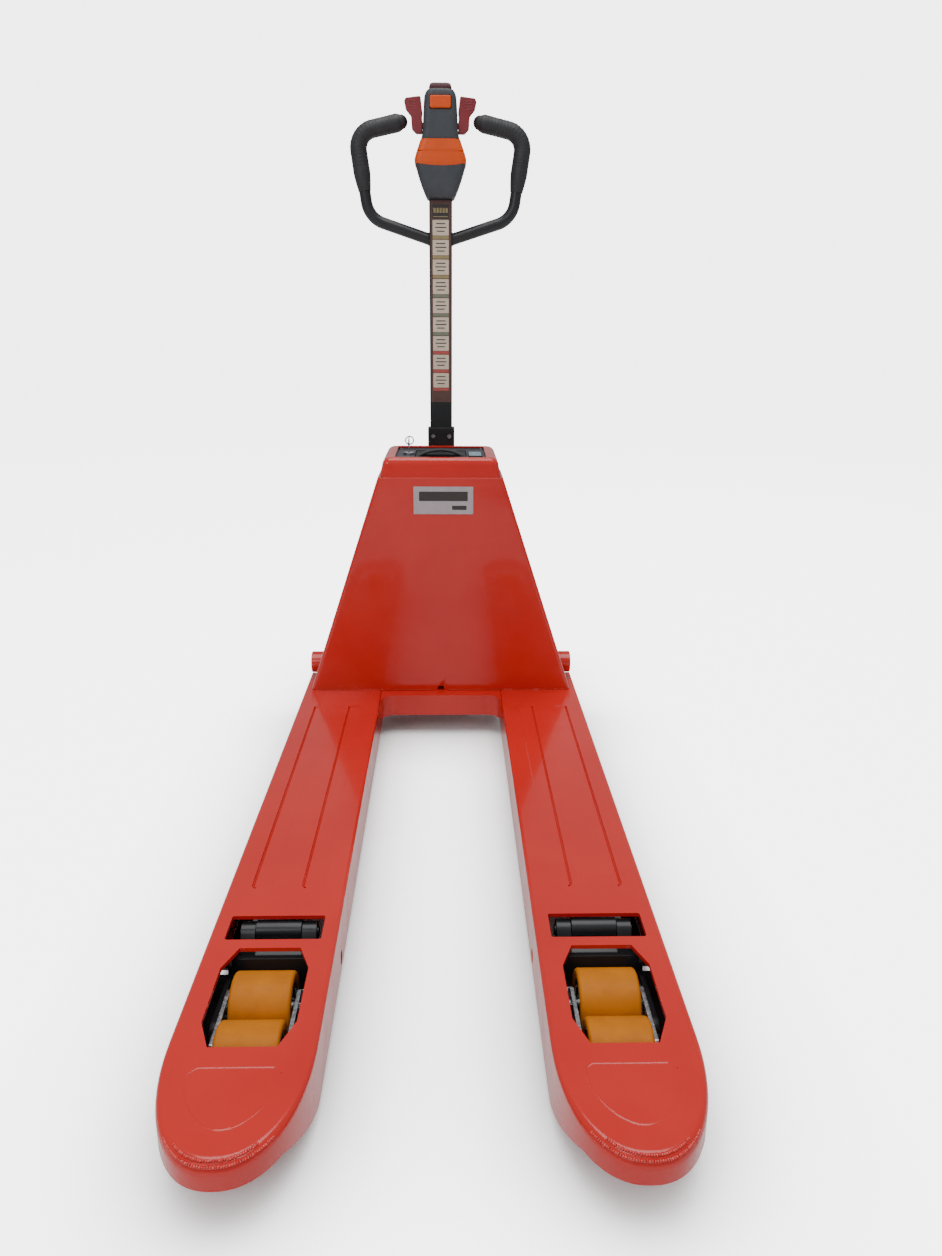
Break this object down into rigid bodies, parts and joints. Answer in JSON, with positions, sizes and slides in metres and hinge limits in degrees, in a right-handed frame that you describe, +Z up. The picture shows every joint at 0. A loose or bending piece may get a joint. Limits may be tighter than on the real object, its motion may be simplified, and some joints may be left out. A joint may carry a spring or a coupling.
{
  "type": "electric pallet truck",
  "caption": "Walk-behind electric pallet truck: lifting forks with load rollers, battery hood, steered drive wheel, castors and a tiller with a loop handle.",
  "frame": {"origin": "middle of the truck's footprint, on the floor", "axes": "+Z up, +Y from the fork tips towards the tiller, +X to the right of someone who stands at the tips and faces the truck"},
  "size_m": [0.55, 1.57, 1.235],
  "materials": {
    "black_enamel": "satin enamel",
    "black_plastic": "moulded",
    "castor_rubber": "matt",
    "drive_rubber": "matt",
    "gauge_lens": "clear coat over a printed face",
    "grey_plastic": "moulded, fine texture",
    "grip_rubber": "fine grain",
    "hose_rubber": "matt",
    "maroon_plastic": "moulded",
    "orange_plastic": "moulded",
    "polyurethane": "smooth, glossy",
    "red_enamel": "glossy enamel",
    "steel": "machined",
    "tank_plastic": "translucent, moulded",
    "zinc": "zinc plated"
  },
  "bodies": {
    "chassis": {"chassis_frame": "red_enamel", "slew_ring": "steel", "lift_cylinder": "black_enamel", "hydraulic_tank": "tank_plastic", "pump_motor": "black_enamel", "hydraulic_hose": "hose_rubber", "lift_guides": "steel", "chassis_cover": "grey_plastic", "swing_arm_pins": "zinc"},
    "fork_frame": {"fork_left": "red_enamel", "fork_right": "red_enamel", "apron": "red_enamel", "cross_member": "red_enamel", "rear_panel": "red_enamel", "hood": "red_enamel", "dash_panel": "grey_plastic", "battery_gauge": "gauge_lens", "key_switch": "zinc", "rocker_housing": "red_enamel", "guide_frame": "red_enamel", "lift_ram": "zinc", "motor_controller": "black_plastic", "wheel_pivot_axles": "steel"},
    "battery": {"battery_case": "black_plastic", "battery_handle": "black_plastic"},
    "key": {"key": "steel"},
    "rocker": {"rocker_arm": "black_enamel"},
    "pushrod_left": {"pushrod_left": "black_enamel"},
    "pushrod_right": {"pushrod_right": "black_enamel"},
    "wheel_bracket_left": {"wheel_bracket_left": "black_enamel"},
    "wheel_bracket_right": {"wheel_bracket_right": "black_enamel"},
    "bogie_left": {"bogie_left": "zinc"},
    "bogie_right": {"bogie_right": "zinc"},
    "roller_left_front": {"roller_tyre_left_front": "polyurethane", "roller_core_left_front": "steel"},
    "roller_left_rear": {"roller_tyre_left_rear": "polyurethane", "roller_core_left_rear": "steel"},
    "roller_right_front": {"roller_tyre_right_front": "polyurethane", "roller_core_right_front": "steel"},
    "roller_right_rear": {"roller_tyre_right_rear": "polyurethane", "roller_core_right_rear": "steel"},
    "steering": {"steering_yoke": "black_enamel", "drive_motor": "black_enamel", "turret_cover": "black_plastic", "tiller_bracket": "black_enamel", "tiller_pivot": "zinc"},
    "drive_wheel": {"drive_tyre": "drive_rubber", "drive_hub": "steel"},
    "tiller": {"tiller_arm": "black_enamel", "loop_handle": "black_enamel", "hand_grips": "grip_rubber", "head_shell": "grey_plastic", "head_belt": "orange_plastic"},
    "throttle": {"throttle": "maroon_plastic"},
    "belly_button": {"belly_button": "maroon_plastic"},
    "horn_button": {"horn_button": "orange_plastic"},
    "castor_left": {"castor_fork_left": "zinc"},
    "castor_right": {"castor_fork_right": "zinc"},
    "castor_wheel_left": {"castor_wheel_left": "castor_rubber"},
    "castor_wheel_right": {"castor_wheel_right": "castor_rubber"}
  },
  "joints": [
    {"name": "lift", "type": "slide", "parent": "chassis", "child": "fork_frame", "axis": [0, 0, 1], "range_m": [0, 0.115]},
    {"name": "rocker_swing", "type": "hinge", "parent": "fork_frame", "child": "rocker", "pos_m": [0, 0.445, 0.117], "axis": [1, 0, 0], "range_deg": [-29.4, 1]},
    {"name": "pushrod_left_level", "type": "hinge", "parent": "rocker", "child": "pushrod_left", "pos_m": [-0.1975, 0.45924, 0.06166], "axis": [1, 0, 0], "range_deg": [-1, 29.4]},
    {"name": "wheel_bracket_left_swing", "type": "hinge", "parent": "fork_frame", "child": "wheel_bracket_left", "pos_m": [-0.1975, -0.42717, 0.033], "axis": [1, 0, 0], "range_deg": [-1, 53.3]},
    {"name": "bogie_left_level", "type": "hinge", "parent": "wheel_bracket_left", "child": "bogie_left", "pos_m": [-0.1975, -0.568, 0.04], "axis": [1, 0, 0], "range_deg": [-53.3, 1]},
    {"name": "roller_left_front_spin", "type": "hinge", "parent": "bogie_left", "child": "roller_left_front", "pos_m": [-0.1975, -0.6095, 0.04], "axis": [1, 0, 0], "continuous": true},
    {"name": "roller_left_rear_spin", "type": "hinge", "parent": "bogie_left", "child": "roller_left_rear", "pos_m": [-0.1975, -0.5265, 0.04], "axis": [1, 0, 0], "continuous": true},
    {"name": "pushrod_right_level", "type": "hinge", "parent": "rocker", "child": "pushrod_right", "pos_m": [0.1975, 0.45924, 0.06166], "axis": [1, 0, 0], "range_deg": [-1, 29.4]},
    {"name": "wheel_bracket_right_swing", "type": "hinge", "parent": "fork_frame", "child": "wheel_bracket_right", "pos_m": [0.1975, -0.42717, 0.033], "axis": [1, 0, 0], "range_deg": [-1, 53.3]},
    {"name": "bogie_right_level", "type": "hinge", "parent": "wheel_bracket_right", "child": "bogie_right", "pos_m": [0.1975, -0.568, 0.04], "axis": [1, 0, 0], "range_deg": [-53.3, 1]},
    {"name": "roller_right_front_spin", "type": "hinge", "parent": "bogie_right", "child": "roller_right_front", "pos_m": [0.1975, -0.6095, 0.04], "axis": [1, 0, 0], "continuous": true},
    {"name": "roller_right_rear_spin", "type": "hinge", "parent": "bogie_right", "child": "roller_right_rear", "pos_m": [0.1975, -0.5265, 0.04], "axis": [1, 0, 0], "continuous": true},
    {"name": "steering_turn", "type": "hinge", "parent": "chassis", "child": "steering", "pos_m": [0, 0.665, 0.24], "axis": [0, 0, 1], "range_deg": [-90, 90]},
    {"name": "drive_wheel_spin", "type": "hinge", "parent": "steering", "child": "drive_wheel", "pos_m": [0, 0.665, 0.105], "axis": [1, 0, 0], "continuous": true},
    {"name": "tiller_tilt", "type": "hinge", "parent": "steering", "child": "tiller", "pos_m": [0, 0.637, 0.462], "axis": [1, 0, 0], "range_deg": [-90, 0], "stiffness_Nm_per_rad": 45},
    {"name": "throttle_turn", "type": "hinge", "parent": "tiller", "child": "throttle", "pos_m": [0, 0.617, 1.16], "axis": [1, 0, 0], "range_deg": [-30, 30], "stiffness_Nm_per_rad": 0.8},
    {"name": "belly_button_press", "type": "slide", "parent": "tiller", "child": "belly_button", "axis": [0, 0, -1], "range_m": [0, 0.006], "stiffness_N_per_m": 1500, "springref_m": -0.002},
    {"name": "horn_button_rock", "type": "hinge", "parent": "tiller", "child": "horn_button", "pos_m": [0, 0.596, 1.2025], "axis": [1, 0, 0], "range_deg": [-8, 8], "stiffness_Nm_per_rad": 1},
    {"name": "key_turn", "type": "hinge", "parent": "fork_frame", "child": "key", "pos_m": [-0.063, 0.465, 0.546], "axis": [0, 0, 1], "range_deg": [0, 90]},
    {"name": "battery_lift", "type": "slide", "parent": "fork_frame", "child": "battery", "axis": [0, 0, 1], "range_m": [0, 0.23]},
    {"name": "castor_left_swivel", "type": "hinge", "parent": "chassis", "child": "castor_left", "pos_m": [-0.208, 0.665, 0.1], "axis": [0, 0, 1], "continuous": true},
    {"name": "castor_wheel_left_spin", "type": "hinge", "parent": "castor_left", "child": "castor_wheel_left", "pos_m": [-0.208, 0.687, 0.0375], "axis": [1, 0, 0], "continuous": true},
    {"name": "castor_right_swivel", "type": "hinge", "parent": "chassis", "child": "castor_right", "pos_m": [0.208, 0.665, 0.1], "axis": [0, 0, 1], "continuous": true},
    {"name": "castor_wheel_right_spin", "type": "hinge", "parent": "castor_right", "child": "castor_wheel_right", "pos_m": [0.208, 0.687, 0.0375], "axis": [1, 0, 0], "continuous": true}
  ],
  "couplings": [
    {"joint": "rocker_swing", "follows": "lift", "rad_per_m": -4.3793},
    {"joint": "pushrod_left_level", "follows": "lift", "rad_per_m": 4.3793},
    {"joint": "wheel_bracket_left_swing", "follows": "lift", "rad_per_m": 8.0191},
    {"joint": "bogie_left_level", "follows": "lift", "rad_per_m": -8.0191},
    {"joint": "pushrod_right_level", "follows": "lift", "rad_per_m": 4.3793},
    {"joint": "wheel_bracket_right_swing", "follows": "lift", "rad_per_m": 8.0191},
    {"joint": "bogie_right_level", "follows": "lift", "rad_per_m": -8.0191}
  ]
}
